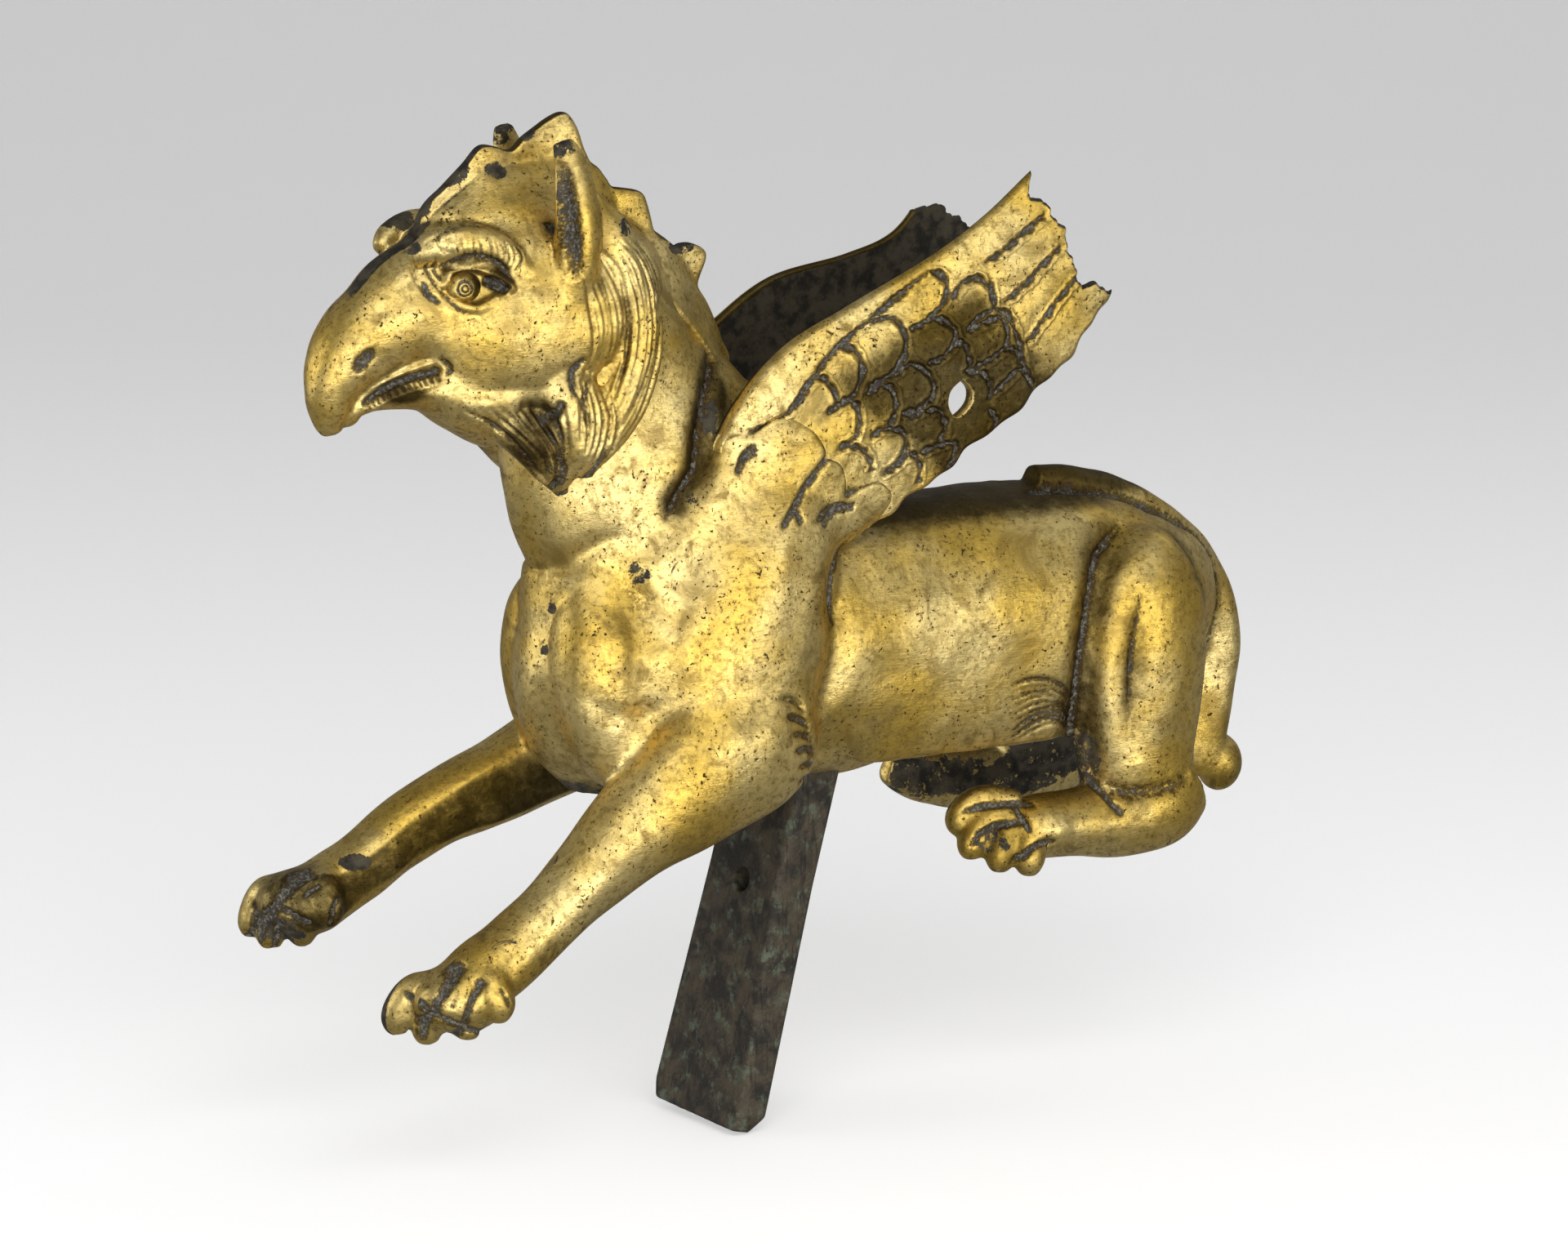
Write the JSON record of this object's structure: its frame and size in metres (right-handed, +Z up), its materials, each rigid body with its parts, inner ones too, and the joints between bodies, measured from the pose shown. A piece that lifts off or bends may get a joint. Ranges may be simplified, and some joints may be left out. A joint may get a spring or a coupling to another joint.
{
  "type": "griffin statue",
  "caption": "Crouching griffin in worn gilded bronze, wings raised and forelegs stretched forward, open below, on a bare dark bronze tang that fixes it to a mount.",
  "frame": {"origin": "middle of the flat end face of the tang", "axes": "+Z up, the griffin faces -X and its left side is towards -Y"},
  "size_m": [0.2674, 0.0743, 0.2539],
  "materials": {
    "gilded_bronze": "worn fire gilding over cast bronze, satin, with brown and grey patina in the hollows",
    "bare_bronze": "bare cast bronze, dark brown patina with traces of green, matt"
  },
  "bodies": {
    "root": {"griffin": "gilded_bronze", "tang": "bare_bronze"}
  },
  "joints": []
}
